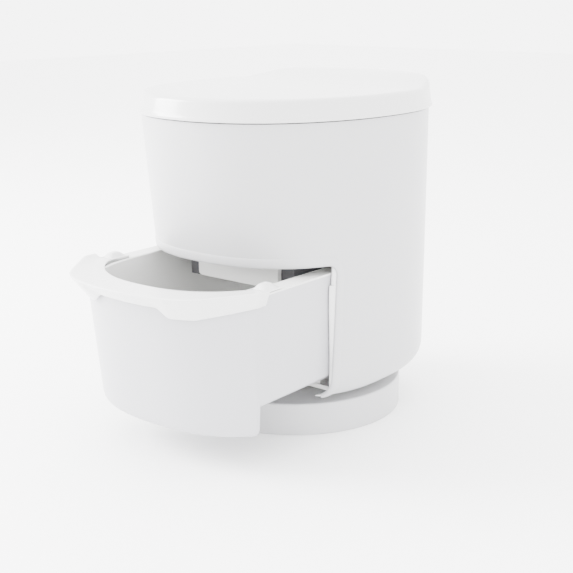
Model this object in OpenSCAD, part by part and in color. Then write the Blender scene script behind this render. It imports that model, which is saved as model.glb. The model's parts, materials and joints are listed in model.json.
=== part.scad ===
// Caravan toilet with a pull-out waste drawer on a round swivel pedestal.
// Millimetres, +Z up, the user sits facing -Y. The origin is where the swivel axis meets the floor.
// The drawer is modelled partly pulled out.

/* [Overall] */
// Height of the lid's lower rim above the floor
lid_rim_z = 440; // [420:1:470]
// Half the width of the lid at its rim
lid_half_w = 182.5; // [175:0.5:190]
// Reach of the lid in front of the swivel axis
lid_front = 244.5; // [235:0.5:255]
// Reach of the lid behind the swivel axis
lid_back = 206.5; // [200:0.5:215]
// Squareness of the oval plan at the top, where 2 is an ellipse
oval_n = 2.2; // [2:0.05:2.6]

/* [Body] */
// How much narrower the body is than the lid, on each side
body_inset = 4.5; // [3:0.5:8]
// Wall of the moulded shells
wall = 4; // [3:0.5:5]
// Height of the lower edge of the front shell above the drawer
opening_z = 250; // [240:1:260]
// Where the body's side walls end at the drawer opening
opening_y = -101; // [-106:1:-96]

/* [Pedestal] */
// Radius of the pedestal drum
pedestal_r = 158; // [150:1:165]
// Height of the pedestal drum
pedestal_h = 46; // [40:1:47]
// Pitch circle of the four floor screws
floor_pcd = 240; // [200:5:270]

/* [Drawer] */
// How far the drawer stands out of its closed place
pull_out = 135; // [100:1:150]
// Height of the top of the drawer's rim
rim_z = 239; // [230:1:242]
// Underside of the drawer's front part
tub_z = 49; // [48.5:0.5:56]
// Underside of the drawer's rear part, which runs on the rails
tub_rear_z = 88; // [86:1:95]

/* [Sealing unit] */
// How far the moving jaw travels to close on the film
jaw_travel = 40; // [30:1:42]
// Half the length of the sealing jaws
jaw_half = 100; // [90:1:101]

/* [Hidden] */

$fn = 64;
PTS = 72;                          // points round each oval

white = "white";
light = "gainsboro";
dark = [0.25, 0.25, 0.27];
steel = "silver";

// Body plan: it narrows downwards, most of all at the front
body_top_z = lid_rim_z - 4;
body_low_z = 60;
side_taper = 0.015;
front_taper = 0.170;
back_taper = 0.020;
round_h = 30;                      // height of the rounding round the body's foot
round_in = 22;                     // how far that rounding draws in

// Seat opening, bowl and film
bowl_y = -45;
deck_z = body_top_z - 2;
film_y = -30;                      // plane in which the film is sealed
unit_low_z = 203;
inner_deck_z = 258;

// Hinge of seat and lid
hinge_y = 184;
hinge_z = 456;
pin_r = 4;

// Drive
drive_x = 90;
rod_z = 223.5;
spindle_z = 212;
pulley_y = 26;
pulley_w = 9;
pulley_r = 9;
motor_z = 240;

// Control panel on the left side
panel_y = 0;
panel_z = 398;
panel_x = -176;

// ---- plan curves and skins ------------------------------------------------

// Oval plan: half width w, reach f to the front and b to the back, squareness n
function oval(w, f, b, n, cy = 0) = [for (i = [0 : PTS - 1])
    let (t = 360 * i / PTS, c = cos(t), s = sin(t))
    [w * sign(c) * pow(abs(c), 2 / n), cy + (s < 0 ? f : b) * sign(s) * pow(abs(s), 2 / n)]];

function at_z(plan, z) = [for (p = plan) [p[0], p[1], z]];

// Rounding of the body's foot: how far it is drawn in at height z
function foot_in(z) = z >= body_low_z + round_h ? 0
    : round_in * (1 - sqrt(max(0, 1 - pow((body_low_z + round_h - z) / round_h, 2))));

function body_n(z) = oval_n + 0.0008 * (lid_rim_z - z);
function body_w(z) = lid_half_w - body_inset - side_taper * (lid_rim_z - z);
function body_f(z) = lid_front - body_inset - front_taper * (lid_rim_z - z);
function body_b(z) = lid_back - body_inset - back_taper * (lid_rim_z - z);
function body_plan(z, e = 0) = oval(body_w(z) - e, body_f(z) - e, body_b(z) - e, body_n(z));

// Half width of the drawer's straight sides at height z
function tub_w(z) = 141.5 + 6 * (z - tub_rear_z) / (rim_z - tub_rear_z);

// Solid through a stack of rings that have the same number of points
module skin(rings) {
    m = len(rings[0]);
    k = len(rings);
    polyhedron(
        points = [for (r = rings) for (p = r) p],
        faces = concat(
            [[for (i = [0 : m - 1]) i]],
            [for (j = [0 : k - 2], i = [0 : m - 1]) let (a = j * m + i, b = j * m + (i + 1) % m)
                each [[a, a + m, b + m], [a, b + m, b]]],
            [[for (i = [m - 1 : -1 : 0]) (k - 1) * m + i]]));
}

// Keeps a shell that is cut out of skins as one mesh
module one_mesh() resize([0, 0, 0]) children();

module at_both_sides() {
    children();
    mirror([1, 0, 0]) children();
}

module rod_y(x, z, y0, y1, r) translate([x, y1, z]) rotate([90, 0, 0]) cylinder(r = r, h = y1 - y0);

module rod_x(x0, x1, y, z, r) translate([x0, y, z]) rotate([0, 90, 0]) cylinder(r = r, h = x1 - x0);

// ---- pedestal -------------------------------------------------------------

module floor_plate() color(dark) difference() {
    union() {
        cylinder(r = pedestal_r - 5, h = 5);
        for (a = [0 : 90 : 270]) rotate(a) translate([95, 0, 0]) cylinder(r = 9, h = pedestal_h - 5.2);
    }
    translate([0, 0, -1]) cylinder(r = 60, h = 7);
    for (a = [45 : 90 : 315]) rotate(a) translate([floor_pcd / 2, 0, -1]) cylinder(r = 3.5, h = 8);
    for (a = [0 : 90 : 270]) rotate(a) translate([95, 0, 20]) cylinder(r = 2.5, h = 30);
}

module pedestal_drum() color(white) difference() {
    rotate_extrude() polygon([[20.2, pedestal_h - 5], [pedestal_r - wall, pedestal_h - 5],
        [pedestal_r - wall, 0], [pedestal_r, 0], [pedestal_r, pedestal_h - 3],
        [pedestal_r - 1, pedestal_h - 1], [pedestal_r - 3, pedestal_h], [20.2, pedestal_h]]);
    for (a = [0 : 90 : 270]) rotate(a) translate([95, 0, pedestal_h - 10]) cylinder(r = 3.2, h = 20);
    for (a = [0 : 90 : 270]) rotate(a) translate([95, 0, pedestal_h - 2.5]) cylinder(r = 6, h = 5);
}

module drum_screws() color(steel) for (a = [0 : 90 : 270]) rotate(a) translate([95, 0, 0]) {
    translate([0, 0, 24]) cylinder(r = 2.4, h = pedestal_h - 26.5);
    difference() {
        translate([0, 0, pedestal_h - 2.5]) cylinder(r = 5.5, h = 2.3);
        translate([0, 0, pedestal_h - 1.5]) cylinder(r = 2.2, h = 3, $fn = 6);
    }
}

module swivel_slide_ring() color(light) difference() {
    translate([0, 0, pedestal_h]) cylinder(r = 82, h = 2.7);
    translate([0, 0, pedestal_h - 1]) cylinder(r = 62, h = 6);
}

// Hollow post that the body turns on; the cable comes up through it
module swivel_post() color(steel) difference() {
    union() {
        translate([0, 0, pedestal_h - 12]) cylinder(r = 34, h = 7);
        translate([0, 0, pedestal_h - 12]) cylinder(r = 20, h = 42);
    }
    translate([0, 0, pedestal_h - 20]) cylinder(r = 12, h = 60);
}

module retaining_ring() color(steel) difference() {
    translate([0, 0, 68.3]) cylinder(r = 30, h = 5);
    translate([0, 0, 60]) cylinder(r = 20.05, h = 20);
    for (a = [0, 180]) rotate(a) translate([25, 0, 60]) cylinder(r = 1.8, h = 20);
}

// ---- body -----------------------------------------------------------------

// Everything in front of the drawer opening and below the front shell's edge
module opening_cut(y, z, r) translate([-300, 0, 0]) rotate([90, 0, 90]) linear_extrude(600)
    polygon(concat([[-400, -10], [y, -10]],
        [for (a = [0 : 10 : 90]) [y - r + r * cos(a), z - r + r * sin(a)]],
        [[-400, z]]));

module base_plate() color(light) difference() {
    union() {
        translate([0, 0, pedestal_h + 2.9]) cylinder(r = 92, h = 12);
        intersection() {
            translate([0, 0, body_low_z]) linear_extrude(6) polygon(body_plan(body_low_z, round_in + 5));
            translate([-200, opening_y + 18, 0]) cube([400, 400, 400]);
        }
    }
    translate([0, 0, 40]) cylinder(r = 25, h = 40);
    translate([-200, -400 + opening_y + 18, 0]) cube([400, 400, 400]);
}

module swivel_bush() color(dark) difference() {
    union() {
        translate([0, 0, pedestal_h + 0.5]) cylinder(r = 24.9, h = 20.2);
        translate([0, 0, 66.05]) cylinder(r = 30, h = 2);
    }
    translate([0, 0, 40]) cylinder(r = 20.06, h = 40);
}

function body_heights() = [body_low_z, body_low_z + 4, body_low_z + 12, body_low_z + round_h, 150, 250,
                           345, body_top_z];

module body_shell() color(white) one_mesh() difference() {
    skin([for (z = body_heights()) at_z(body_plan(z, foot_in(z)), z)]);
    skin([for (z = body_heights()) let (zz = z == body_low_z ? z - 1 : z == body_top_z ? z + 1 : z)
        at_z(body_plan(z, foot_in(z) + wall), zz)]);
    opening_cut(opening_y, opening_z, 20);
    translate([panel_x - 20, panel_y - 36.5, panel_z - 21.5]) cube([50, 73, 43]);
    translate([-30.2, 150, 84.8]) cube([60.4, 80, 36.4]);
    translate([-92, 150, deck_z - 10]) cube([184, 80, 20]);
}

// Frame that lines the drawer opening
module opening_frame() color(white) one_mesh() difference() {
    intersection() {
        skin([for (z = [body_low_z - 7, body_low_z - 3, body_low_z + 4, body_low_z + 14,
                        body_low_z + round_h, 150, 246])
            at_z(body_plan(z, foot_in(max(z, body_low_z)) + 1), z)]);
        translate([-200, opening_y - 13, 50]) cube([400, 10.8, 188]);
    }
    skin([for (z = [84.2, 130, 260]) [[-tub_w(z) - 0.8, -200, z], [tub_w(z) + 0.8, -200, z],
                               [tub_w(z) + 0.8, 0, z], [-tub_w(z) - 0.8, 0, z]]]);
    skin([for (z = [body_low_z - 20, body_low_z + 4, body_low_z + 12, body_low_z + round_h, 150, 250])
        at_z([for (p = body_plan(z, foot_in(z) - 0.5)) [p[0], max(p[1], opening_y - 0.5)]], z)]
        );
}

module drawer_rails() color(light) at_both_sides() translate([86, opening_y + 20, body_low_z + 6.1]) {
    cube([22, 225, 18.4]);
    translate([19, 0, 0]) cube([3, 225, 21.4]);
}

module top_deck() color(white) one_mesh() difference() {
    translate([0, 0, deck_z - 6]) linear_extrude(6) polygon(body_plan(deck_z, wall + 1));
    translate([0, 0, deck_z - 10]) linear_extrude(20) polygon(oval(140, 170, 150, 2.2, bowl_y));
    translate([-92, hinge_y - 12, deck_z - 10]) cube([184, 60, 20]);
}

module inner_deck() color(light) one_mesh() difference() {
    intersection() {
        translate([0, 0, inner_deck_z]) linear_extrude(5) polygon(body_plan(inner_deck_z, wall + 0.8));
        translate([-200, -135, 0]) cube([400, 275, 400]);
    }
    translate([0, 0, inner_deck_z - 5]) linear_extrude(20) polygon(oval(77, 41, 41, 2.4, film_y));
}

function bowl_rings(e) = [
    at_z(oval(72 - e, 36 - e, 36 - e, 2.4, film_y), 236),
    at_z(oval(72 - e, 36 - e, 36 - e, 2.4, film_y), 268),
    at_z(oval(84 - e, 66 - e, 56 - e, 2.3, film_y - 3), 300),
    at_z(oval(100 - e, 108 - e, 88 - e, 2.2, bowl_y + 6), 345),
    at_z(oval(110 - e, 134 - e, 112 - e, 2.2, bowl_y), 390),
    at_z(oval(112 - e, 140 - e, 118 - e, 2.2, bowl_y), 428)];

module bowl() color(light) one_mesh() difference() {
    union() {
        skin(bowl_rings(0));
        translate([0, 0, 392]) linear_extrude(3) polygon(oval(137, 166, 142, 2.2, bowl_y));
        translate([0, 0, 263.2]) linear_extrude(3) polygon(oval(88, 60, 54, 2.4, film_y));
    }
    skin([for (r = bowl_rings(3)) [for (p = r) [p[0], p[1], p[2] == 236 ? 235 : p[2] == 428 ? 429 : p[2]]]]);
}

module film_cartridge() color(dark) one_mesh() difference() {
    translate([0, 0, 395.2]) linear_extrude(30) polygon(oval(135, 164, 140, 2.2, bowl_y));
    translate([0, 0, 390]) linear_extrude(50) polygon(oval(113, 141, 119, 2.2, bowl_y));
    translate([0, 0, 420]) linear_extrude(12) polygon(oval(127, 156, 132, 2.2, bowl_y));
}

// Tube of film that hangs in the bowl and is drawn flat between the jaws
function liner_rings(e) = [
    at_z(oval(66 - e, 1.2 - e * 0.7, 1.2 - e * 0.7, 2.2, film_y), 198),
    at_z(oval(66 - e, 1.2 - e * 0.7, 1.2 - e * 0.7, 2.2, film_y), 232),
    at_z(oval(66 - e, 29 - e, 29 - e, 2.4, film_y), 269),
    at_z(oval(78 - e, 60 - e, 50 - e, 2.3, film_y - 3), 301),
    at_z(oval(94 - e, 102 - e, 82 - e, 2.2, bowl_y + 6), 346),
    at_z(oval(104 - e, 128 - e, 106 - e, 2.2, bowl_y), 391),
    at_z(oval(107 - e, 135 - e, 113 - e, 2.2, bowl_y), 431)];

module film_liner() color([0.8, 0.82, 0.85]) one_mesh() difference() {
    skin(liner_rings(0));
    skin([for (r = liner_rings(1)) [for (p = r) [p[0], p[1], p[2] == 198 ? 200 : p[2] == 431 ? 432 : p[2]]]]);
}

// ---- sealing unit ---------------------------------------------------------

module sealing_frame() color(dark) difference() {
    translate([0, 0, unit_low_z]) linear_extrude(inner_deck_z - unit_low_z)
        polygon([[-94, -122], [94, -122], [108, -92], [108, 24], [-108, 24], [-108, -92]]);
    translate([0, 0, unit_low_z - 5]) linear_extrude(100)
        polygon([[-91, -116], [91, -116], [102, -92], [102, 18], [-102, 18], [-102, -92]]);
    for (s = [-1, 1]) rod_y(s * drive_x, rod_z, -118.5, 30, 4);
    for (s = [-1, 1]) rod_y(s * drive_x, spindle_z, -119, 30, 4.06);
    for (s = [-1, 1]) rod_x(s < 0 ? -120 : 98, s < 0 ? -98 : 120, -18, 218, 2.1);
}

// Pale cover on the front of the sealing unit, seen through the drawer opening
module chute_cover() color(light) translate([0, -122.1, unit_low_z + 3]) rotate([90, 0, 0])
    linear_extrude(8) polygon(concat(
        [for (a = [180 : 15 : 270]) [-72 + 6 + 6 * cos(a), 6 + 6 * sin(a)]],
        [for (a = [270 : 15 : 360]) [72 - 6 + 6 * cos(a), 6 + 6 * sin(a)]],
        [[72, 51.8], [-72, 51.8]]));

module fixed_jaw() color(steel) difference() {
    translate([-101.9, -28, 207]) cube([203.8, 20, 22]);
    for (s = [-1, 1]) {
        rod_y(s * drive_x, rod_z, -40, 10, 4.2);
        rod_y(s * drive_x, spindle_z, -40, 10, 4.3);
        rod_x(s < 0 ? -103 : 92, s < 0 ? -92 : 103, -18, 218, 2.1);
    }
}

module heater_strip() color("goldenrod") translate([-80, -28.6, 214]) cube([160, 0.6, 8]);

module guide_rods() color(steel) for (s = [-1, 1]) rod_y(s * drive_x, rod_z, -118.4, 24, 4);

module moving_jaw() color(steel) difference() {
    translate([-jaw_half, film_y - 2 - 20 - jaw_travel, 207]) cube([2 * jaw_half, 19.2, 22]);
    for (s = [-1, 1]) {
        rod_y(s * drive_x, rod_z, -200, 10, 4.06);
        rod_y(s * drive_x, spindle_z, -200, 10, 4.06);
    }
}

module jaw_pad() color("firebrick") translate([-80, film_y - 2.8 - jaw_travel, 213]) cube([160, 0.8, 10]);

// Spindle with its toothed pulley
module spindle(s) translate([s * drive_x, 0, spindle_z]) {
    translate([0, pulley_y + 12, 0]) rotate([90, 0, 0]) cylinder(r = 4, h = pulley_y + 12 + 118.6);
    translate([0, pulley_y + pulley_w, 0]) rotate([90, 0, 0]) difference() {
        cylinder(r = pulley_r, h = pulley_w);
        for (a = [0 : 30 : 330]) rotate(a) translate([pulley_r, 0, -1]) cylinder(r = 0.9, h = 20, $fn = 16);
    }
    translate([0, pulley_y + 10.5, 0]) rotate([90, 0, 0]) cylinder(r = pulley_r + 1.6, h = 1.4);
}

module spindle_left() color(steel) spindle(-1);
module spindle_right() color(steel) spindle(1);

module drive_motor() color(dark) {
    difference() {
        union() {
            translate([0, 98, motor_z]) rotate([90, 0, 0]) cylinder(r = 17, h = 46);
            translate([-20, 42, motor_z - 20]) cube([40, 10, 37.8]);
            translate([-6, 97, motor_z - 8]) cube([12, 6, 16]);
        }
        translate([0, 60, motor_z]) rotate([90, 0, 0]) cylinder(r = 3.06, h = 40);
    }
}

module motor_pulley() color(steel) translate([0, 0, motor_z]) {
    translate([0, 55, 0]) rotate([90, 0, 0]) cylinder(r = 3, h = 29);
    translate([0, pulley_y + pulley_w, 0]) rotate([90, 0, 0]) difference() {
        cylinder(r = pulley_r, h = pulley_w);
        for (a = [0 : 30 : 330]) rotate(a) translate([pulley_r, 0, -1]) cylinder(r = 0.9, h = 20, $fn = 16);
    }
    translate([0, pulley_y + 10.5, 0]) rotate([90, 0, 0]) cylinder(r = pulley_r + 1.6, h = 1.4);
}

module belt_plan(r) hull() {
    for (s = [-1, 1]) translate([s * drive_x, spindle_z]) circle(r = r, $fn = 32);
    translate([0, motor_z]) circle(r = r, $fn = 32);
}

module drive_belt() color(dark) translate([0, pulley_y + pulley_w - 1, 0]) rotate([90, 0, 0])
    linear_extrude(pulley_w - 2) difference() {
        belt_plan(pulley_r + 1.5);
        belt_plan(pulley_r + 0.15);
    }

module unit_screws() color(steel) {
    for (s = [-1, 1]) {
        rod_x(s < 0 ? -108 : 93, s < 0 ? -93 : 108, -18, 218, 2);
        rod_x(s < 0 ? -110.2 : 108, s < 0 ? -108 : 110.2, -18, 218, 4);
    }
}

// ---- controls -------------------------------------------------------------

module control_box() color(dark) difference() {
    translate([-70, 106, inner_deck_z + 5.2]) cube([110, 30, 74]);
    translate([-66, 102, inner_deck_z + 9.2]) cube([102, 30, 66]);
}

module control_panel() color(light) difference() {
    translate([panel_x - 4, panel_y - 36, panel_z - 21]) cube([14, 72, 42]);
    translate([panel_x - 1, panel_y - 33, panel_z - 18]) cube([14, 66, 36]);
    rod_x(panel_x - 20, panel_x + 20, panel_y + 12, panel_z, 11);
    rod_x(panel_x - 20, panel_x + 20, panel_y - 18, panel_z, 7);
}

module push_button(y, r) {
    rod_x(panel_x - 5.5, panel_x + 1, y, panel_z, r - 0.3);
    rod_x(panel_x - 0.6, panel_x + 1, y, panel_z, r + 1.5);
}

module seal_button() color("steelblue") push_button(panel_y + 12, 11);
module power_button() color(dark) push_button(panel_y - 18, 7);

module power_inlet() color(dark) difference() {
    translate([-30, 176, 85]) cube([60, 20, 36]);
    translate([-22, 190, 93]) cube([44, 10, 20]);
    for (x = [-10, 10]) rod_y(x, 103, 185, 195, 3);
}

// ---- seat and lid ---------------------------------------------------------

// Two posts on a plate that is fixed under the rear of the deck
module hinge_posts() color(white) difference() {
    union() {
        translate([-50, 140, deck_z - 16]) cube([100, 45, 6]);
        translate([-50, 140, deck_z - 10.1]) cube([100, hinge_y - 153, 4]);
        at_both_sides() {
            translate([20, hinge_y - 7, deck_z - 10.1]) cube([12, 14, hinge_z - deck_z + 10.1]);
            rod_x(20, 32, hinge_y, hinge_z, 8);
        }
    }
    rod_x(-40, 40, hinge_y, hinge_z, pin_r);
}

module hinge_pins() color(steel) at_both_sides() {
    rod_x(17, 63, hinge_y, hinge_z, pin_r);
    rod_x(15, 17.1, hinge_y, hinge_z, pin_r + 2);
}

module seat_ring() color(white) one_mesh() difference() {
    skin([at_z(oval(168, 230, 142, 2.25), 438), at_z(oval(172, 234, 146, 2.25), 442),
          at_z(oval(172, 234, 146, 2.25), 450), at_z(oval(168, 230, 142, 2.25), 456),
          at_z(oval(160, 222, 134, 2.25), 458.5)]);
    skin([at_z(oval(112, 138, 112, 2.1, bowl_y), 437), at_z(oval(106, 132, 106, 2.1, bowl_y), 446),
          at_z(oval(107, 133, 107, 2.1, bowl_y), 452), at_z(oval(114, 141, 113, 2.1, bowl_y), 459)]);
}

// Hinge arm that swings on the pins between x0 and x1, reaching forward to y_end at height z
module hinge_arm(x0, x1, y_end, z0, z1) difference() {
    union() {
        rod_x(x0, x1, hinge_y, hinge_z, 8.5);
        translate([x0, y_end, z0]) cube([x1 - x0, hinge_y - y_end, z1 - z0]);
    }
    rod_x(x0 - 5, x1 + 5, hinge_y, hinge_z, pin_r + 0.06);
}

module seat_hinge_arms() color(white) at_both_sides() hinge_arm(32.5, 46, 128, 450.5, 457.5);

module lid_hinge_arms() color(white) at_both_sides() hinge_arm(47, 62, 152, 459.5, 474);

module seat_bumpers() color(dark) for (p = [[-125, -90], [125, -90], [-118, 88], [118, 88]])
    translate([p[0] * 1.17, p[1], deck_z + 0.1]) cylinder(r = 7, h = 438 - deck_z - 0.1);

// The lid's crown is flat in front and swells up into a hump at the rear
function hump(y) = let (u = min(1, max(0, (y - 75) / 80))) 12 * u * u * (3 - 2 * u);

function lid_ring(s, z, e, k) = [for (p = oval((lid_half_w - e) * s, (lid_front - e) * s, (lid_back - e) * s,
    oval_n)) [p[0], p[1], z + k * hump(p[1])]];

module lid_shell() color(white) one_mesh() difference() {
    skin([lid_ring(1, lid_rim_z, 0, 0), lid_ring(1, lid_rim_z + 4, 0, 0), lid_ring(1, lid_rim_z + 6, 1.4, 0),
          lid_ring(1, 462, 4, 0.8), lid_ring(1, 466, 6.5, 1), lid_ring(1, 468.5, 12, 1),
          lid_ring(0.8, 469.5, 12, 1), lid_ring(0.5, 470, 12, 1), lid_ring(0.2, 470.3, 12, 1),
          lid_ring(0.02, 470.3, 12, 1)]);
    skin([lid_ring(1, lid_rim_z - 2, wall, 0), lid_ring(1, 458, wall + 3, 0.8), lid_ring(1, 462, wall + 7, 1),
          lid_ring(1, 464.5, wall + 14, 1), lid_ring(0.8, 465.5, wall + 14, 1), lid_ring(0.5, 466, wall + 14, 1),
          lid_ring(0.2, 466.3, wall + 14, 1), lid_ring(0.02, 466.3, wall + 14, 1)]);
    translate([-66, hinge_y - 6, lid_rim_z - 10]) cube([132, 60, hinge_z - lid_rim_z + 10]);
    at_both_sides() translate([17, hinge_y - 6, lid_rim_z - 10]) cube([18, 60, hinge_z - lid_rim_z + 24]);
}

module lid_bumpers() color(dark) for (p = [[-120, -110], [120, -110], [-118, 60], [118, 60]])
    translate([p[0], p[1], 458.8]) cylinder(r = 6, h = 6.1);

// ---- drawer ---------------------------------------------------------------

// Outline of the drawer's front part at height z, in the closed place
function tub_plan(z, e) = [for (p = body_plan(z, e)) [min(tub_w(z) - e, max(e - tub_w(z), p[0])), p[1]]];

function tub_in(z) = z >= tub_z + 9 ? 0 : 9 - sqrt(max(0, 81 - pow(tub_z + 9 - z, 2)));

module tub_front(e, z0, z1, y_end) intersection() {
    skin([for (z = [z0, z0 + 2, z0 + 9, 110, 170, z1]) at_z(tub_plan(z, e + tub_in(max(z, tub_z))), z)]);
    translate([-200, -400, 0]) cube([400, 400 + y_end, 400]);
}

// Rear part of the tub, with cut corners that clear the inside of the body
module tub_rear(e, z0, z1, y0, y1) skin([for (z = [z0, z1]) let (w = tub_w(z) - e)
    [[-w, y0, z], [w, y0, z], [w, y1 - 40, z], [w - 28, y1, z], [28 - w, y1, z], [-w, y1 - 40, z]]]);

module drawer_tub() color(white) translate([0, -pull_out, 0]) one_mesh() difference() {
    union() {
        tub_front(0, tub_z, rim_z - 3, opening_y - 16);
        tub_rear(0, tub_rear_z, rim_z - 3, opening_y - 30, 136);
    }
    tub_front(3.5, tub_z + 3.5, rim_z + 10, opening_y - 19.5);
    tub_rear(3.5, tub_rear_z + 3.5, rim_z + 10, opening_y - 30, 132.5);
    translate([-200, 60, 192]) cube([400, 100, 100]);
}

// Plan of the bucket's mouth, in the closed place
function bucket_plan(w, f, y1) = [for (p = oval(w, f, 150, 3.6)) [p[0], min(p[1], y1)]];

module waste_bucket() color(light) translate([0, -pull_out, 0]) one_mesh() difference() {
    union() {
        skin([at_z(bucket_plan(112, 166, 122), tub_rear_z + 4), at_z(bucket_plan(122.5, 184, 126), 190),
              at_z(bucket_plan(125, 188, 127), rim_z - 0.6)]);
        intersection() {
            translate([0, 0, rim_z - 3]) linear_extrude(2.4) polygon(tub_plan(rim_z, 0.5));
            translate([-200, -400, 0]) cube([400, 460, 400]);
        }
    }
    skin([at_z(bucket_plan(109, 163, 119), tub_rear_z + 7), at_z(bucket_plan(119.5, 181, 123), 190),
          at_z(bucket_plan(122, 185, 124), rim_z + 1)]);
    translate([-200, 60, 190]) cube([400, 100, 100]);
}

// Rim frame that holds the bag's edge: a band round the front whose top flares out as a grip.
// Stations run along the front outline; each has a section that goes round the band.
function smooth(u) = let (v = min(1, max(0, u))) v * v * (3 - 2 * v);
function front_pt(t, z, e) = let (c = cos(t), s = sin(t), n = body_n(z), w = tub_w(z) + e)
    [min(w, max(-w, (body_w(z) + e) * sign(c) * pow(abs(c), 2 / n))),
     (body_f(z) + e) * sign(s) * pow(abs(s), 2 / n)];
function flare(x) = 10 + 15 * smooth((140 - abs(x)) / 60);
function apron(x) = 15 + 12 * smooth((abs(x) - 46) / 22) - 13 * max(0, abs(x) - 95) / 55;
function frame_section(t) = let (x = front_pt(t, rim_z, 0)[0], e = flare(x), d = apron(x))
    [for (q = [[-24, 0.2], [-24, 2.6], [-2, 3.2], [e - 2, 5], [e, 4.2], [e, 2.6], [2.6, -d], [0.6, -d],
               [0.6, 0.2]])
        let (p = front_pt(t, rim_z, q[0])) [p[0], p[1], rim_z + q[1]]];

module bag_frame() color(white) translate([0, -pull_out, 0]) one_mesh() {
    difference() {
        intersection() {
            skin([for (t = [198 : 2 : 342]) frame_section(t)]);
            translate([-200, -400, 0]) cube([400, 400 + opening_y - 14, 400]);
        }
        tub_front(-0.35, tub_z, rim_z + 0.1, opening_y - 10);
    }
    at_both_sides() {
        translate([126, opening_y - 20, rim_z + 0.2]) cube([21, 40, 2.4]);
        translate([135, opening_y + 4, rim_z + 1]) linear_extrude(9, scale = 0.7)
            scale([9, 15]) circle(r = 1, $fn = 32);
    }
}

module drawer_runners() color(dark) translate([0, -pull_out, 0]) at_both_sides()
    translate([88, opening_y + 4, tub_rear_z - 3.2]) cube([14, 225, 3.1]);

module drawer_catch() color(dark) translate([-20, 140, body_low_z + 6.1]) {
    cube([40, 16, 30]);
    translate([20, 0.1, 40]) rotate([90, 0, 0]) cylinder(r = 7, h = 2);
    translate([14, 0, 28]) cube([12, 8, 12]);
}

module catch_plate() color(steel) translate([-12, -pull_out + 136.1, 98]) cube([24, 1.4, 16]);

floor_plate();
pedestal_drum();
drum_screws();
swivel_slide_ring();
swivel_post();
retaining_ring();
base_plate();
swivel_bush();
body_shell();
opening_frame();
drawer_rails();
top_deck();
inner_deck();
bowl();
film_cartridge();
film_liner();
sealing_frame();
chute_cover();
fixed_jaw();
heater_strip();
guide_rods();
moving_jaw();
jaw_pad();
spindle_left();
spindle_right();
drive_motor();
motor_pulley();
drive_belt();
control_box();
control_panel();
seal_button();
power_button();
power_inlet();
hinge_posts();
hinge_pins();
seat_ring();
seat_hinge_arms();
seat_bumpers();
lid_shell();
lid_hinge_arms();
lid_bumpers();
drawer_tub();
waste_bucket();
bag_frame();
drawer_runners();
drawer_catch();
catch_plate();
unit_screws();
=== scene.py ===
"""Looks of the caravan toilet with a pull-out waste drawer. Metres, +Z up, front towards -Y."""

import json
import math

import bmesh
import bpy
import numpy as np
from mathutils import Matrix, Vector


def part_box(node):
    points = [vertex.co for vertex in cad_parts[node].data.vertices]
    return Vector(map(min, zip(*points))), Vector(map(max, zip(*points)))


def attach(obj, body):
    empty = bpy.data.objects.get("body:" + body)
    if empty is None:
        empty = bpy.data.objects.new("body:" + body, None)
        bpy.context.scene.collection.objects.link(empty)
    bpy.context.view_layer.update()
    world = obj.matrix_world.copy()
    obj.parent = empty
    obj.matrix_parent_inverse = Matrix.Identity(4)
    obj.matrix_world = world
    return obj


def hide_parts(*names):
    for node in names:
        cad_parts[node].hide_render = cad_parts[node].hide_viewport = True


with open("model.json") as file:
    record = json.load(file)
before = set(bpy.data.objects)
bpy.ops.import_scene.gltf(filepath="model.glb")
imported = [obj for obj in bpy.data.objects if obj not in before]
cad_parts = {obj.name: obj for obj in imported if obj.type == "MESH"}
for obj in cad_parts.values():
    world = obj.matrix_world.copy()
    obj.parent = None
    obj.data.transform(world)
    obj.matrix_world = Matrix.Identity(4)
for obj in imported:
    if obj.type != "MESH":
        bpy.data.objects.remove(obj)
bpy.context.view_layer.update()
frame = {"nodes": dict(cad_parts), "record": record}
MM = 0.001


# ---- sizes, taken from the CAD nodes -----------------------------------------------------


def span(node, axis):
    low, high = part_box(node)
    return low[axis], high[axis]


LID_W = span("lid_shell", 0)[1]
LID_FRONT = -span("lid_shell", 1)[0]
LID_BACK = span("lid_shell", 1)[1]
LID_RIM = span("lid_shell", 2)[0]
OVAL_N = 2.2
BODY_INSET = 4.5 * MM
WALL = 4 * MM
BODY_LOW, BODY_TOP = span("body_shell", 2)
ROUND_H, ROUND_IN = 30 * MM, 22 * MM  # rounding of the body's foot
SIDE_TAPER, FRONT_TAPER, BACK_TAPER = 0.015, 0.170, 0.020
OPEN_Z, OPEN_Y, OPEN_R = 250 * MM, -101 * MM, 20 * MM  # the drawer opening's edge and corner
PULL = 135 * MM  # how far the drawer stands out
RIM_Z = span("drawer_tub", 2)[1] + 3 * MM
TUB_LOW = span("drawer_tub", 2)[0]
TUB_REAR_Z = 88 * MM
BOWL_Y = -45 * MM
HINGE_Y, HINGE_Z = 184 * MM, 456 * MM


# ---- mesh helpers ------------------------------------------------------------------------


def mesh_object(name, verts, faces, sharp=40):
    mesh = bpy.data.meshes.new(name)
    mesh.from_pydata([tuple(v) for v in verts], [], faces)
    mesh.validate()
    mesh.shade_smooth()
    mesh.set_sharp_from_angle(angle=math.radians(sharp))
    obj = bpy.data.objects.new(name, mesh)
    bpy.context.scene.collection.objects.link(obj)
    return obj


def loft(name, rings, closed=True, caps=True, sharp=40):
    """Skin over rings with the same number of points; closed rings join end to end."""
    count = len(rings[0])
    verts = np.concatenate(rings)
    last = count if closed else count - 1
    faces = []
    for j in range(len(rings) - 1):
        for i in range(last):
            a, b = j * count + i, j * count + (i + 1) % count
            faces.append((a, b, b + count, a + count))
    if caps:
        faces.append(tuple(range(count - 1, -1, -1)))
        top = (len(rings) - 1) * count
        faces.append(tuple(range(top, top + count)))
    return mesh_object(name, verts, faces, sharp)


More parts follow.
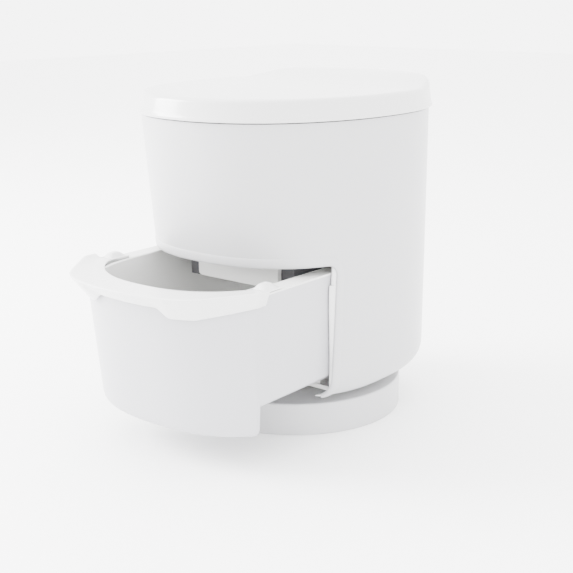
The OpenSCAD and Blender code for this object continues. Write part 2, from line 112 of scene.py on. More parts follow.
def oval(w, f, b, n, count=240, cy=0.0):
    """Oval plan: half width w, reach f to the front and b to the back, squareness n."""
    t = np.linspace(0, 2 * math.pi, count, endpoint=False)
    return oval_at(t, w, f, b, n, cy)


def oval_at(t, w, f, b, n, cy=0.0):
    c, s = np.cos(t), np.sin(t)
    x = w * np.sign(c) * np.abs(c) ** (2 / n)
    y = cy + np.where(s < 0, f, b) * np.sign(s) * np.abs(s) ** (2 / n)
    return np.stack([x, y], axis=1)


def smooth(u):
    u = min(1.0, max(0.0, u))
    return u * u * (3 - 2 * u)


def at_z(plan, z):
    return np.column_stack([plan, np.broadcast_to(z, len(plan))])


def arc(steps, start=0.0, end=90.0):
    return [math.radians(start + (end - start) * i / steps) for i in range(steps + 1)]


def cut_box(obj, low, high):
    """Cuts an axis-aligned box out of a mesh for good."""
    centre = [(a + b) / 2 for a, b in zip(low, high)]
    bpy.ops.mesh.primitive_cube_add(size=1, location=centre)
    tool = bpy.context.object
    tool.scale = [b - a for a, b in zip(low, high)]
    m = obj.modifiers.new("cut", "BOOLEAN")
    m.operation, m.object, m.solver = "DIFFERENCE", tool, "EXACT"
    bpy.context.view_layer.objects.active = obj
    bpy.ops.object.modifier_apply(modifier=m.name)
    bpy.data.objects.remove(tool)
    obj.data.set_sharp_from_angle(angle=math.radians(40))


def cut_window(obj, facing, low, high):
    """Opens a rectangular window in the skins that face along -X or +Y, behind a fitted part."""
    sign, axis = facing
    across = 1 - axis
    inset = 1.2 * MM
    spans = {across: (low[across] + inset, high[across] - inset), 2: (low[2] + inset, high[2] - inset)}
    mesh = bmesh.new()
    mesh.from_mesh(obj.data)
    for k, limits in spans.items():
        for limit in limits:
            near = [f for f in mesh.faces if in_window(f, sign, axis, spans, 12 * MM)]
            geom = list({g for f in near for g in [f, *f.edges, *f.verts]})
            normal = [1.0 if k == i else 0.0 for i in range(3)]
            at = [limit if k == i else 0.0 for i in range(3)]
            bmesh.ops.bisect_plane(mesh, geom=geom, plane_co=at, plane_no=normal)
    gone = [f for f in mesh.faces if in_window(f, sign, axis, spans, 0)]
    bmesh.ops.delete(mesh, geom=gone, context="FACES")
    mesh.to_mesh(obj.data)
    mesh.free()


def in_window(face, sign, axis, spans, margin):
    c = face.calc_center_median()
    inside = all(lo - margin < c[k] < hi + margin for k, (lo, hi) in spans.items())
    return inside and c[axis] * sign > 0.1


def join(name, parts):
    bpy.ops.object.select_all(action="DESELECT")
    for p in parts:
        p.select_set(True)
    bpy.context.view_layer.objects.active = parts[0]
    bpy.ops.object.join()
    parts[0].name = name
    return parts[0]


# ---- materials ---------------------------------------------------------------------------


def plastic(name, colour, rough, grain=0.0, grain_scale=900.0, metal=0.0, drift=0.04, coat=0.0):
    """Moulded or machined surface: a little roughness drift and a fine grain bump."""
    mat = bpy.data.materials.new(name)
    mat.use_nodes = True
    nodes, links = mat.node_tree.nodes, mat.node_tree.links
    shader = nodes["Principled BSDF"]
    shader.inputs["Base Color"].default_value = (*colour, 1)
    shader.inputs["Metallic"].default_value = metal
    shader.inputs["Coat Weight"].default_value = coat
    shader.inputs["Coat Roughness"].default_value = 0.12
    place = nodes.new("ShaderNodeTexCoord")
    soft = nodes.new("ShaderNodeTexNoise")
    soft.inputs["Scale"].default_value = 14.0
    soft.inputs["Detail"].default_value = 3.0
    spread = nodes.new("ShaderNodeMapRange")
    spread.inputs["To Min"].default_value = rough - drift
    spread.inputs["To Max"].default_value = rough + drift
    links.new(place.outputs["Object"], soft.inputs["Vector"])
    links.new(soft.outputs["Fac"], spread.inputs["Value"])
    links.new(spread.outputs["Result"], shader.inputs["Roughness"])
    fine = nodes.new("ShaderNodeTexNoise")
    fine.inputs["Scale"].default_value = grain_scale
    fine.inputs["Detail"].default_value = 2.0
    bump = nodes.new("ShaderNodeBump")
    bump.inputs["Strength"].default_value = grain
    bump.inputs["Distance"].default_value = 0.0002
    links.new(place.outputs["Object"], fine.inputs["Vector"])
    links.new(fine.outputs["Fac"], bump.inputs["Height"])
    links.new(bump.outputs["Normal"], shader.inputs["Normal"])
    return mat


def brushed(name, colour, rough, stretch):
    """Metal with fine lines along one axis."""
    mat = plastic(name, colour, rough, 0.0, metal=1.0)
    nodes, links = mat.node_tree.nodes, mat.node_tree.links
    place = nodes.new("ShaderNodeTexCoord")
    scale = nodes.new("ShaderNodeMapping")
    scale.inputs["Scale"].default_value = stretch
    lines = nodes.new("ShaderNodeTexNoise")
    lines.inputs["Scale"].default_value = 60.0
    bump = nodes.new("ShaderNodeBump")
    bump.inputs["Strength"].default_value = 0.12
    bump.inputs["Distance"].default_value = 0.0003
    links.new(place.outputs["Object"], scale.inputs["Vector"])
    links.new(scale.outputs["Vector"], lines.inputs["Vector"])
    links.new(lines.outputs["Fac"], bump.inputs["Height"])
    links.new(bump.outputs["Normal"], nodes["Principled BSDF"].inputs["Normal"])
    return mat


MATERIALS = {
    "white_shell": plastic("white_shell", (0.40, 0.40, 0.41), 0.32, 0.10, coat=0.15),
    # Lid and seat: the same white plastic as the shell, made lighter to paint the light on the lid's
    # upward-facing top (painted highlight); the seat copies the lid's value.
    "white_lid": plastic("white_lid", (0.52, 0.52, 0.52), 0.24, 0.05, coat=0.3),
    "white_seat": plastic("white_seat", (0.52, 0.52, 0.52), 0.22, 0.04, coat=0.3),
    # Rim frame and opening ribs: the same white plastic, made lighter than the tub and shell to paint the
    # light on the frame's flared band (painted highlight).
    "white_frame": plastic("white_frame", (0.60, 0.60, 0.60), 0.28, 0.06, coat=0.2),
    # Drawer tub: the same white plastic, set a shade darker than the shell to paint the greyer shade on
    # the drawer's front (painted shade).
    "white_tub": plastic("white_tub", (0.38, 0.38, 0.40), 0.34, 0.10, coat=0.1),
    # Bucket and bowl: set lighter than the white shell so the shaded inside of the drawer reads light
    # (painted fill light).
    "grey_inner": plastic("grey_inner", (0.60, 0.60, 0.59), 0.45, 0.25, 700),
    # Near-black mechanism parts; the colour also paints the deep shade inside the body behind the drawer
    # opening (painted shade).
    "dark_plastic": plastic("dark_plastic", (0.045, 0.045, 0.05), 0.48, 0.4, 600),
    "film": plastic("film", (0.42, 0.44, 0.47), 0.18, 0.5, 120, drift=0.08),
    "steel_parts": brushed("steel_parts", (0.62, 0.62, 0.64), 0.28, (1, 30, 1)),
    "jaw_metal": brushed("jaw_metal", (0.70, 0.71, 0.73), 0.34, (1, 1, 30)),
    "heater_metal": brushed("heater_metal", (0.70, 0.50, 0.22), 0.30, (1, 1, 30)),
    "soft_rubber": plastic("soft_rubber", (0.03, 0.03, 0.03), 0.62, 0.5, 500),
    "panel_grey": plastic("panel_grey", (0.25, 0.26, 0.28), 0.40, 0.3, 700),
    "blue_button": plastic("blue_button", (0.05, 0.16, 0.40), 0.26, 0.05, coat=0.4),
}


def finish_piece(obj, body, slot, *nodes):
    """Gives a piece its body, its slot and material, and the CAD nodes it stands for."""
    obj.data.materials.clear()
    obj.data.materials.append(MATERIALS[slot])
    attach(obj, body)
    if nodes:
        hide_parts(*nodes)
    return obj


# ---- body plans --------------------------------------------------------------------------


def foot_in(z):
    k = np.clip((BODY_LOW + ROUND_H - z) / ROUND_H, 0, 1)
    return ROUND_IN * (1 - math.sqrt(1 - k * k))


def body_n(z):
    return OVAL_N + 0.8 * (LID_RIM - z)


def body_sizes(z, inset=0.0):
    down = LID_RIM - z
    return (
        LID_W - BODY_INSET - SIDE_TAPER * down - inset,
        LID_FRONT - BODY_INSET - FRONT_TAPER * down - inset,
        LID_BACK - BODY_INSET - BACK_TAPER * down - inset,
    )


def body_plan(z, inset=0.0, count=240):
    return oval(*body_sizes(z, inset), body_n(z), count)


def tub_w(z):
    return (141.5 + 6 * (z - TUB_REAR_Z) / (RIM_Z - TUB_REAR_Z)) * MM


# ---- lid ---------------------------------------------------------------------------------


def hump(y):
    u = np.clip((y - 75 * MM) / (80 * MM), 0, 1)
    return 12 * MM * u * u * (3 - 2 * u)


def lid_ring(scale, z, inset, swell):
    plan = oval(LID_W - inset, LID_FRONT - inset, LID_BACK - inset, OVAL_N) * scale
    return at_z(plan, z + swell * hump(plan[:, 1]))


def make_lid():
    rim = LID_RIM
    outer = [lid_ring(1, rim + z * MM, e * MM, 0) for z, e in ((0.4, 0.3), (0, 0.9))][::-1]
    bead = ((1.0, 0.0), (3.2, 0.0), (4.2, 0.3), (5.0, 1.1), (6.5, 1.5))
    outer += [lid_ring(1, rim + z * MM, e * MM, 0) for z, e in bead]
    wall = ((10, 0.2), (15, 0.5), (20, 0.8))
    outer += [lid_ring(1, rim + z * MM, (1.5 + (z - 6.5) * 0.19) * MM, s) for z, s in wall]
    for a in arc(7):
        inset = (4.4 + 7.6 * (1 - math.cos(a))) * MM
        outer.append(lid_ring(1, rim + (21.5 + 7 * math.sin(a)) * MM, inset, 0.85 + 0.15 * math.sin(a)))
    for s in (0.96, 0.9, 0.8, 0.65, 0.5, 0.35, 0.2, 0.1, 0.004):
        outer.append(lid_ring(s, rim + (28.5 + 1.6 * (1 - s * s)) * MM, 12 * MM, 1))
    scales = (0.004, 0.2, 0.5, 0.8, 0.95, 1)
    inner = [lid_ring(s, rim + (24.5 + 1.6 * (1 - s * s)) * MM, 18 * MM, 1) for s in scales]
    inner += [lid_ring(1, rim + 22 * MM, 11 * MM, 1), lid_ring(1, rim + 18 * MM, 7.5 * MM, 0.85)]
    inner += [lid_ring(1, rim + 1 * MM, 4.2 * MM, 0), lid_ring(1, rim, 3.4 * MM, 0)]
    lid = loft("lid", inner + outer)
    cut_box(lid, (-0.066, HINGE_Y - 6 * MM, rim - 0.01), (0.066, 0.3, HINGE_Z))
    for x in (-0.026, 0.026):
        cut_box(lid, (x - 0.009, HINGE_Y - 6 * MM, rim - 0.01), (x + 0.009, 0.3, HINGE_Z + 0.014))
    finish_piece(lid, "lid", "white_lid", "lid_shell")


# ---- body shell --------------------------------------------------------------------------


def edge_y(z):
    """Where the shell's side edge stands at height z, with the rounded corner at the top."""
    k = np.clip((z - (OPEN_Z - OPEN_R)) / OPEN_R, 0, 1)
    return OPEN_Y - OPEN_R * (1 - math.sqrt(1 - k * k))


def split_angle(z, y, inset):
    """Parameter at which the body's plan passes y on the right side."""
    _, f, _ = body_sizes(z, inset)
    return -math.asin((abs(y) / f) ** (body_n(z) / 2))


def body_point_rows(inset):
    """Rows of the rear arc from foot to top, and rows of the front arc above the opening."""
    heights = [BODY_LOW + ROUND_H * (1 - math.cos(a)) for a in arc(12)]
    heights += list(np.linspace(BODY_LOW + ROUND_H, OPEN_Z - OPEN_R, 12)[1:])
    heights += [OPEN_Z - OPEN_R + OPEN_R * math.sin(a) for a in arc(10)][1:]
    heights += list(np.linspace(OPEN_Z, BODY_TOP, 24)[1:])
    rear, front = [], []
    for z in heights:
        e = inset + foot_in(z)
        t0 = split_angle(z, edge_y(z), e)
        sizes = body_sizes(z, e)
        rear.append(at_z(oval_at(np.linspace(t0, math.pi - t0, 201), *sizes, body_n(z)), z))
        if z >= OPEN_Z - 1e-9:
            front.append(at_z(oval_at(np.linspace(-math.pi - t0, t0, 121), *sizes, body_n(z)), z))
    rear[-1][:, 2] += [2.2 * MM * (1 - smooth((y / MM - 90) / 40)) for y in rear[-1][:, 1]]
    front[-1][:, 2] += 2.2 * MM
    return rear, front


def sweep(name, path, normals, sides, profile, sharp=50, widths=None, shifts=None):
    """Runs a profile of (side, normal) points along a path with given frames."""
    rings = []
    for k, (p, n, d) in enumerate(zip(path, normals, sides)):
        w = 1.0 if widths is None else widths[k]
        e = 0.0 if shifts is None else shifts[k]
        rings.append(np.array([p + d * (a + e) + n * b * w for a, b in profile]))
    return loft(name, rings, closed=True, caps=True, sharp=sharp)


def unit(v):
    return v / np.linalg.norm(v)


def surface_normal(x, y, z):
    """Outward normal of the body's surface near a point on it."""

    def level(px, py, pz):
        w, f, b = body_sizes(pz, foot_in(pz))
        n = body_n(pz)
        return (abs(px) / w) ** n + (abs(py) / (f if py < 0 else b)) ** n

    h = 1e-4
    g = np.array([
        level(x + h, y, z) - level(x - h, y, z),
        level(x, y + h, z) - level(x, y - h, z),
        level(x, y, z + h) - level(x, y, z - h),
    ])
    return unit(g)


# Section of the lip in millimetres: across the edge, and out from the shell
LIP_MM = (
    (0.4, -4.0), (-1.4, -3.0), (-2.2, -1.2), (-2.0, 0.8), (-0.8, 2.0), (1.5, 2.7),
    (4.5, 2.7), (7.5, 2.0), (10, 0.8), (11.5, -0.6), (8, -3.0),
)
LIP = [(a * MM, b * MM) for a, b in LIP_MM]


def opening_path():
    """Points along the opening's edge, right foot to left foot, and how many are on one side."""
    zs = [BODY_LOW + ROUND_H * (1 - math.cos(a)) for a in arc(10, 12)]
    zs += list(np.linspace(BODY_LOW + ROUND_H, OPEN_Z - OPEN_R, 14)[1:])
    zs += [OPEN_Z - OPEN_R + OPEN_R * math.sin(a) for a in arc(10)][1:]
    right = []
    for z in zs:
        e = foot_in(z)
        t = split_angle(z, edge_y(z), e)
        right.append(np.append(oval_at(np.array([t]), *body_sizes(z, e), body_n(z))[0], z))
    t0 = split_angle(OPEN_Z, edge_y(OPEN_Z), 0)
    ts = np.linspace(t0, -math.pi - t0, 90)[1:-1]
    front = [np.append(p, OPEN_Z) for p in oval_at(ts, *body_sizes(OPEN_Z), body_n(OPEN_Z))]
    left = [p * np.array([-1, 1, 1]) for p in right[::-1]]
    return right + front + left, len(right)


def make_body():
    parts = []
    for inset, flip in ((0, False), (WALL, True)):
        rear, front = body_point_rows(inset)
        for k, rows in enumerate((rear, front)):
            rows = rows if not flip else [r[::-1] for r in rows]
            parts.append(loft(f"body_{inset}_{k}", rows, closed=False, caps=False))
    path, corner = opening_path()
    normals, sides = [], []
    for i, p in enumerate(path):
        ahead = unit(path[min(i + 1, len(path) - 1)] - path[max(i - 1, 0)])
        n = surface_normal(*p)
        normals.append(n)
        sides.append(unit(np.cross(n, ahead)) * -1)
    # the rolled lip is thickest on the sides, where it stands forward over the rib
    strength, shifts = [], []
    for i in range(len(path)):
        k = min(i - corner, len(path) - corner - i)
        strength.append(max(0.35, 1 - max(0, k) / 14))
        shifts.append((-8.5 + 11 * smooth(max(0, k + 10) / 10)) * MM)
    parts.append(sweep("lip", path, normals, sides, LIP, 60, strength, shifts))
    shell = join("body", parts)
    low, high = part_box("control_panel")
    cut_window(shell, (-1, 0), low, high)
    low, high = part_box("power_inlet")
    cut_window(shell, (1, 1), low, high)
    finish_piece(shell, "body", "white_shell", "body_shell")


# ---- frame inside the opening ------------------------------------------------------------


def make_trim():
    """Two upright ribs that line the opening, set back at the top and drawn in at the foot."""
    parts = []
    for side in (1, -1):
        heights = [BODY_LOW - 4 * MM + ROUND_H * (1 - math.cos(a)) for a in arc(10, 25)]
        heights += list(np.linspace(BODY_LOW + 28 * MM, 222 * MM, 14))
        heights += [z * MM for z in (222.4, 235, 247)]
        rings = [trim_section(z) for z in heights]
        rings = [r * np.array([side, 1, 1]) for r in rings]
        if side < 0:
            rings = [r[::-1] for r in rings]
        parts.append(loft("rib", rings, sharp=50))
    return parts


def trim_section(z):
    """Section of a rib: its outer face follows the body, its inner face clears the tub."""
    e = foot_in(max(z, BODY_LOW + 0.2 * MM))
    y_back = OPEN_Y + 1 * MM
    y_front = y_back - (8 + 9 * smooth((z / MM - 80) / 140)) * MM
    if z > 222.3 * MM:
        y_front = OPEN_Y - 12.5 * MM  # stands back where the drawer's rim frame comes in

    def outer(y, inset):
        w, f, _ = body_sizes(z, e + inset)
        return w * (1 - (abs(y) / f) ** body_n(z)) ** (1 / body_n(z))

    inner = min(tub_w(max(z, TUB_REAR_Z)) + 0.9 * MM, outer(y_front, 3.4 * MM) - 0.8 * MM)
    pts = [
        (inner, y_back),
        (outer(y_back, 3 * MM), y_back),
        (outer(y_back - 1 * MM, 1.2 * MM), y_back - 1 * MM),
        (outer(y_back - 5 * MM, 0.4 * MM), y_back - 5 * MM),
        (outer(y_front + 2 * MM, 1.2 * MM), y_front + 2 * MM),
        (outer(y_front, 3.4 * MM), y_front),
        (inner + 1.5 * MM, y_front),
        (inner, y_front + 1.5 * MM),
    ]
    return np.array([(x, y, z) for x, y in pts][::-1])


# ---- drawer ------------------------------------------------------------------------------


def tub_arc(z, inset, y_end, count=161):
    """Front outline of the tub at height z as an open arc, in the closed place."""
    sizes = body_sizes(z, inset)
    n = body_n(z)
    w = tub_w(z) - inset
    t_side = -math.acos(min(1, (w / sizes[0]) ** (n / 2)))
    ts = np.linspace(t_side, -math.pi - t_side, count)
    front = oval_at(ts, *sizes, n)
    front[:, 0] = np.clip(front[:, 0], -w, w)
    right = np.array([(w, y_end), (w, (y_end + front[0][1]) / 2)])
    left = np.array([(-w, (y_end + front[0][1]) / 2), (-w, y_end)])
    return np.concatenate([right, front, left])[::-1]


def make_tub():
    shift = np.array([0, -PULL, 0])
    y_end = OPEN_Y - 16 * MM
    r = 13 * MM
    rows = []
    for a in arc(8):
        z = TUB_LOW + r * (1 - math.cos(a))
        rows.append(at_z(tub_arc(z, r * 0.75 * (1 - math.sin(a)), y_end), z))
    for z in np.linspace(TUB_LOW + r, RIM_Z - 3 * MM, 16)[1:]:
        rows.append(at_z(tub_arc(z, 0, y_end), z))
    inner = []
    for z in np.linspace(RIM_Z - 3 * MM, TUB_LOW + 8 * MM, 10):
        inner.append(at_z(tub_arc(z, 3.5 * MM, y_end + 0.01 * MM), z))
    inner.append(at_z(tub_arc(TUB_LOW + 3.5 * MM, 10 * MM, y_end), TUB_LOW + 3.5 * MM))
    rows = [x + shift for x in rows + inner]
    wall = loft("tub_front", rows, closed=False, caps=True, sharp=40)
    box = box_shell("tub_rear", OPEN_Y - 15.8 * MM, 136 * MM)
    heel = heel_wall("tub_heel", y_end)
    tub = join("tub", [wall, box, heel])
    finish_piece(tub, "drawer", "white_tub", "drawer_tub")


def box_shell(name, y0, y1):
    """Rear part of the tub: two sides with cut corners, a floor and a lower rear wall."""
    t = 3.5 * MM
    r = 8 * MM
    w = tub_w(TUB_REAR_Z)
    rear_w = tub_w(190 * MM) - 28 * MM
    parts = []
    top = RIM_Z - 3 * MM
    for side in (1, -1):
        pts = []
        for y in (y0, y1 - 40 * MM, y1):
            low = [(w - r * (1 - math.sin(a)), TUB_REAR_Z + r * (1 - math.cos(a))) for a in arc(6)]
            out = low + [(tub_w(top), top)]
            back = [(x - t, max(z, TUB_REAR_Z + t)) for x, z in out[::-1]]
            cut = 28 * MM if y > y1 - 1 * MM else 0
            pts.append(np.array([(side * (x - cut), y, z) for x, z in out + back]))
        if side > 0:
            pts = pts[::-1]
        parts.append(loft("side", [p + np.array([0, -PULL, 0]) for p in pts], sharp=30))
    floor_low = (-w + r, y0 - PULL, TUB_REAR_Z)
    floor_high = (w - r, y1 - 40 * MM - PULL, TUB_REAR_Z + t)
    parts.append(slab("floor", floor_low, floor_high))
    rear_low = (-rear_w, y1 - t - PULL, TUB_REAR_Z)
    parts.append(slab("rear", rear_low, (rear_w, y1 - PULL, 192 * MM)))
    return join(name, parts)


def heel_wall(name, y_end):
    """Closes the deep front part below the floor of the rear part."""
    z1 = TUB_REAR_Z + 3.5 * MM
    w = tub_w(TUB_LOW) - 1.6 * MM
    return slab(name, (-w, y_end - 3.5 * MM - PULL, TUB_LOW + 4 * MM), (w, y_end - PULL, z1))


def slab(name, low, high):
    x0, y0, z0 = low
    x1, y1, z1 = high
    ring = [(x0, y0), (x1, y0), (x1, y1), (x0, y1)]
    return loft(name, [np.array([(x, y, z) for x, y in ring]) for z in (z0, z1)], sharp=30)


# ---- rim frame with its flared grip ------------------------------------------------------


def flare(x):
    """How far the frame's top edge flares out past the tub, in millimetres."""
    return 10 + 15 * smooth((140 - abs(x)) / 60)


def apron(x):
    """Depth of the band below the rim, in millimetres."""
    return 15 + 12 * smooth((abs(x) - 46) / 22) - 13 * max(0, abs(x) - 95) / 55


def front_point(t, z, e):
    w, f, _ = body_sizes(z)
    n = body_n(z)
    limit = tub_w(z) + e
    p = oval_at(np.array([t]), w + e, f + e, f, n)[0]
    return np.array([np.clip(p[0], -limit, limit), p[1]])


def frame_section(t):
    x = front_point(t, RIM_Z, 0)[0] / MM
    e, d = flare(x), apron(x)
    pts = [
        (-22.5, 0.3), (-23.6, 0.7), (-24, 1.6), (-23.6, 2.6), (-22.4, 3.0), (-12, 3.2), (-2, 3.6),
        (e - 5, 5.0), (e - 2, 5.3), (e - 0.7, 5.0), (e, 4.2), (e - 0.1, 3.2), (e - 0.9, 1.6),
        (3.6, 2 - d), (2.9, 0.8 - d), (2.2, 0.1 - d), (1.2, 0.1 - d), (0.7, 0.8 - d), (0.7, 0.3),
    ]
    lift = 2 * smooth((front_point(t, RIM_Z, 0)[1] / MM + 185) / 55)
    pts = [(a, b + lift * smooth((a - 2) / 5) if b > 1 else b) for a, b in pts]
    return np.array([(*(front_point(t, RIM_Z, a * MM) - (0, PULL)), RIM_Z + b * MM) for a, b in pts])


def make_frame():
    y_end = OPEN_Y - 14.5 * MM
    t_end = 180 + math.degrees(math.asin((abs(y_end) / body_sizes(RIM_Z)[1]) ** (body_n(RIM_Z) / 2)))
    rings = [frame_section(math.radians(t)) for t in np.linspace(t_end, 540 - t_end, 181)]
    for ring in (rings[0], rings[-1]):
        ring[:, 1] = y_end - PULL
    parts = [loft("band", rings, sharp=45)]
    for side in (1, -1):
        tab = [tab_ring(side, y, lift) for y, lift in finger_tab_profile()]
        parts.append(loft("tab", tab if side < 0 else [r[::-1] for r in tab], sharp=50))
    finish_piece(join("rim_frame", parts), "drawer", "white_frame", "bag_frame")


def finger_tab_profile():
    """Stations along the side flange: distance along Y in the closed place, and lift of its top."""
    y0, y1 = OPEN_Y - 22 * MM, OPEN_Y + 20 * MM
    centre, half = OPEN_Y + 2 * MM, 16 * MM
    for y in np.linspace(y0, y1, 40):
        u = min(1, abs(y - centre) / half)
        yield y, 7 * MM * (1 - u ** 3) ** 1.5


def tab_ring(side, y, lift):
    x0, x1 = 124 * MM, tub_w(RIM_Z) - 0.4 * MM
    z0, z1 = RIM_Z + 0.2 * MM, RIM_Z + 2.8 * MM
    rise = [(x0, z0), (x0, z1)]
    rise += [(x0 + a * MM, z1 + b * lift) for a, b in ((3, 0.2), (6, 0.85), (9, 1), (14, 1), (17, 0.8))]
    rise += [(x1 - 2 * MM, z1 + 0.15 * lift), (x1, z1 - 0.4 * MM), (x1, z0)]
    return np.array([(side * x, y - PULL, z) for x, z in rise])


# ---- bucket ------------------------------------------------------------------------------


def bucket_ring(w, f, y1, z):
    plan = oval(w * MM, f * MM, 150 * MM, 3.6)
    plan[:, 1] = np.minimum(plan[:, 1], y1 * MM) - PULL
    return at_z(plan, z)


def make_bucket():
    top = RIM_Z - 0.6 * MM
    rows = [bucket_ring(4, 5, 4, TUB_REAR_Z + 4 * MM)]
    for a in arc(6):
        g = 10 * (1 - math.sin(a))
        rows.append(bucket_ring(112 - g, 166 - g, 122 - g, TUB_REAR_Z + (4 + 10 * (1 - math.cos(a))) * MM))
    rows += [bucket_ring(122.5, 184, 126, 190 * MM), bucket_ring(125, 188, 127, top - 2 * MM)]
    rows += [bucket_ring(126, 189.5, 127, top), bucket_ring(123.5, 186.5, 125, top + 0.2 * MM)]
    rows += [bucket_ring(122, 185, 124, top - 1 * MM), bucket_ring(119.5, 181, 123, 190 * MM)]
    for a in arc(6)[::-1]:
        g = 10 * (1 - math.sin(a))
        rows.append(bucket_ring(109 - g, 163 - g, 119 - g, TUB_REAR_Z + (7 + 10 * (1 - math.cos(a))) * MM))
    rows.append(bucket_ring(4, 5, 4, TUB_REAR_Z + 7 * MM))
    bucket = loft("bucket", rows)
    cut_box(bucket, (-0.2, 60 * MM - PULL, 190 * MM), (0.2, 0.3, 0.3))
    flange = []
    for side in (1, -1):
        x = [125.5 * MM * side, tub_w(RIM_Z) * side]
        low = (min(x), -0.135 - PULL, RIM_Z - 3 * MM)
        flange.append(slab("flange", low, (max(x), 60 * MM - PULL, top)))
    finish_piece(join("bucket", [bucket] + flange), "drawer", "grey_inner", "waste_bucket")


# ---- pedestal, seat, bowl ----------------------------------------------------------------


def turned(name, profile, segments=256, sharp=40):
    rings = []
    for r, z in profile:
        t = np.linspace(0, 2 * math.pi, segments, endpoint=False)
        rings.append(np.column_stack([r * np.cos(t), r * np.sin(t), np.full(segments, z)]))
    return loft(name, rings + [rings[0]], caps=False, sharp=sharp)


def make_pedestal():
    low, high = span("pedestal_drum", 2)
    r = span("pedestal_drum", 0)[1]
    edge = 3 * MM
    profile = [(r - WALL, low), (r - 0.6 * MM, low), (r, low + 0.6 * MM)]
    profile += [(r, high - edge)]
    profile += [(r - edge * (1 - math.cos(a)), high - edge + edge * math.sin(a)) for a in arc(6)][1:]
    profile += [(20.2 * MM, high), (20.2 * MM, high - 5 * MM), (r - WALL, high - 5 * MM)]
    finish_piece(turned("pedestal", profile), "pedestal", "white_shell", "pedestal_drum")


def make_seat():
    outer = [
        (438, 168), (439, 170.5), (442, 172), (450, 172), (453.5, 171), (456, 168), (457.6, 163.5),
        (458.4, 158), (458.5, 152),
    ]
    inner = [
        (458.4, 118, 145, 118), (457.6, 113.5, 140, 112.5), (455.5, 109.5, 136, 109),
        (452, 107.2, 133.3, 107), (448, 106.2, 132.2, 106.2), (444, 107, 133, 107),
        (440, 110, 136, 110), (438, 113, 139, 113),
    ]
    rows = [at_z(oval(w * MM, (w + 62) * MM, (w - 26) * MM, 2.25), z * MM) for z, w in outer]
    rows += [at_z(oval(w * MM, f * MM, b * MM, 2.1, cy=BOWL_Y), z * MM) for z, w, f, b in inner]
    finish_piece(loft("seat", rows + [rows[0]], caps=False), "seat", "white_seat", "seat_ring")


# Height, half width, reach to the front and back, squareness and middle of each station, in mm
BOWL_STATIONS = (
    (236, 72, 36, 36, 2.4, -30),
    (268, 72, 36, 36, 2.4, -30),
    (300, 84, 66, 56, 2.3, -33),
    (345, 100, 108, 88, 2.2, -39),
    (390, 110, 134, 112, 2.2, -45),
    (428, 112, 140, 118, 2.2, -45),
)


def smooth_stations(stations, steps):
    """Catmull-Rom rows between the listed stations."""
    pts = [np.array(s, float) for s in stations]
    pts = [pts[0]] + pts + [pts[-1]]
    out = []
    for i in range(1, len(pts) - 2):
        for k in range(steps):
            u = k / steps
            a, b, c, d = pts[i - 1], pts[i], pts[i + 1], pts[i + 2]
            bend = (2 * a - 5 * b + 4 * c - d) * u * u + (3 * b - a - 3 * c + d) * u ** 3
            out.append(0.5 * (2 * b + (c - a) * u + bend))
    return out + [pts[-1]]


def bowl_ring(s, e):
    z, w, f, b, n, cy = s
    return at_z(oval((w - e) * MM, (f - e) * MM, (b - e) * MM, n, cy=cy * MM), z * MM)


def make_bowl():
    rows = smooth_stations(BOWL_STATIONS, 6)
    rings = [bowl_ring(s, 0) for s in rows] + [bowl_ring(s, 3) for s in rows[::-1]]
    bowl = loft("bowl", rings + [rings[0]], caps=False)
    plates = []
    for z, plan in ((392, (137, 166, 142, 2.2, -45)), (263.2, (88, 60, 54, 2.4, -30))):
        w, f, b, n, cy = plan
        outer = oval(w * MM, f * MM, b * MM, n, cy=cy * MM)
        hole = np.stack([outer[:, 0] * 0.8, (outer[:, 1] - cy * MM) * 0.78 + cy * MM], axis=1)
        high = (z + 3) * MM
        rows = [at_z(hole, z * MM), at_z(outer, z * MM), at_z(outer, high), at_z(hole, high)]
        plates.append(loft("plate", rows + [rows[0]], caps=False))
    finish_piece(join("bowl", [bowl] + plates), "body", "grey_inner", "bowl")


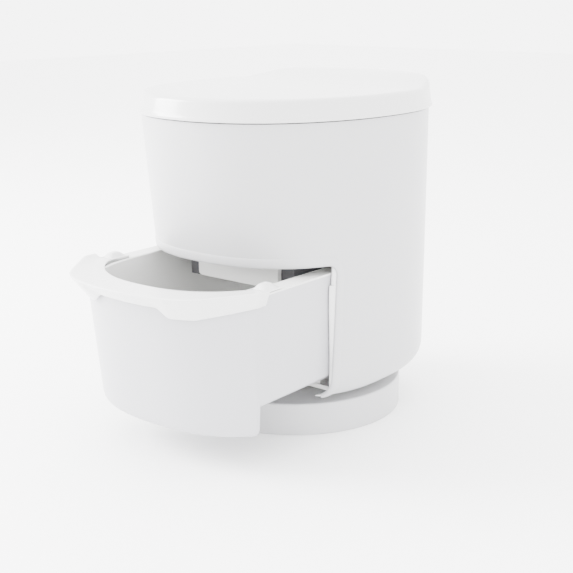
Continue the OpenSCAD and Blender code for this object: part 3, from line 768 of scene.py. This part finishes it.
def make_deck():
    """Deck under the seat with its oval opening and the slot at the hinge."""
    z1 = span("top_deck", 2)[1]
    z0 = span("top_deck", 2)[0]
    outer = body_plan(z1, WALL + 0.5 * MM)
    hole = oval(140 * MM, 170 * MM, 150 * MM, 2.2, cy=BOWL_Y)
    lip = oval(142 * MM, 172 * MM, 152 * MM, 2.2, cy=BOWL_Y)
    rows = [at_z(hole, z0), at_z(outer, z0), at_z(outer, z1), at_z(lip, z1), at_z(hole, z1 - 1.5 * MM)]
    deck = loft("deck", rows + [rows[0]], caps=False, sharp=30)
    cut_box(deck, (-0.092, HINGE_Y - 12 * MM, z1 - 0.02), (0.092, 0.3, z1 + 0.02))
    finish_piece(deck, "body", "white_shell", "top_deck")


def dress_cad():
    """Gives every carried-over CAD node the material of its slot."""
    slots = {s["node"]: s["material_slot"] for s in frame["record"]["subparts"]}
    for name, obj in frame["nodes"].items():
        obj.data.materials.clear()
        obj.data.materials.append(MATERIALS[slots[name]])


# ---- stage -------------------------------------------------------------------------------


def make_stage():
    bpy.ops.mesh.primitive_plane_add(size=14, location=(0, 2.0, -0.0002))
    floor = bpy.context.object
    floor.name = "floor"
    floor.data.materials.append(plastic("pale_floor", (0.92, 0.92, 0.92), 0.6, 0.0))
    world = bpy.data.worlds.new("studio")
    world.use_nodes = True
    world.node_tree.nodes["Background"].inputs["Color"].default_value = (1, 1, 1, 1)
    world.node_tree.nodes["Background"].inputs["Strength"].default_value = 6.5
    bpy.context.scene.world = world
    lights = [("key", (-2.4, -1.6, 1.5), 1.6, 420), ("top", (-0.4, 0.2, 3.0), 2.6, 60)]
    for name, place, size, power in lights:
        data = bpy.data.lights.new(name, "AREA")
        data.size, data.energy = size, power
        lamp = bpy.data.objects.new(name, data)
        lamp.location = place
        aim = np.array([0, -0.05, 0.25]) - np.array(place)
        lamp.rotation_euler = direction_to_euler(aim)
        bpy.context.scene.collection.objects.link(lamp)


def direction_to_euler(v):
    return Vector(v).to_track_quat("-Z", "Y").to_euler()


def make_camera():
    data = bpy.data.cameras.new("camera")
    data.sensor_width = 36
    data.lens = 69.9
    camera = bpy.data.objects.new("camera", data)
    camera.location = (0.9833, -1.2622, 0.5996)
    camera.rotation_euler = (math.radians(75.04), 0, math.radians(38.36))
    bpy.context.scene.collection.objects.link(camera)
    bpy.context.scene.camera = camera


dress_cad()
make_lid()
make_body()
finish_piece(join("trim", make_trim()), "body", "white_frame", "opening_frame")
make_tub()
make_frame()
make_bucket()
make_pedestal()
make_seat()
make_bowl()
make_deck()
make_stage()
make_camera()
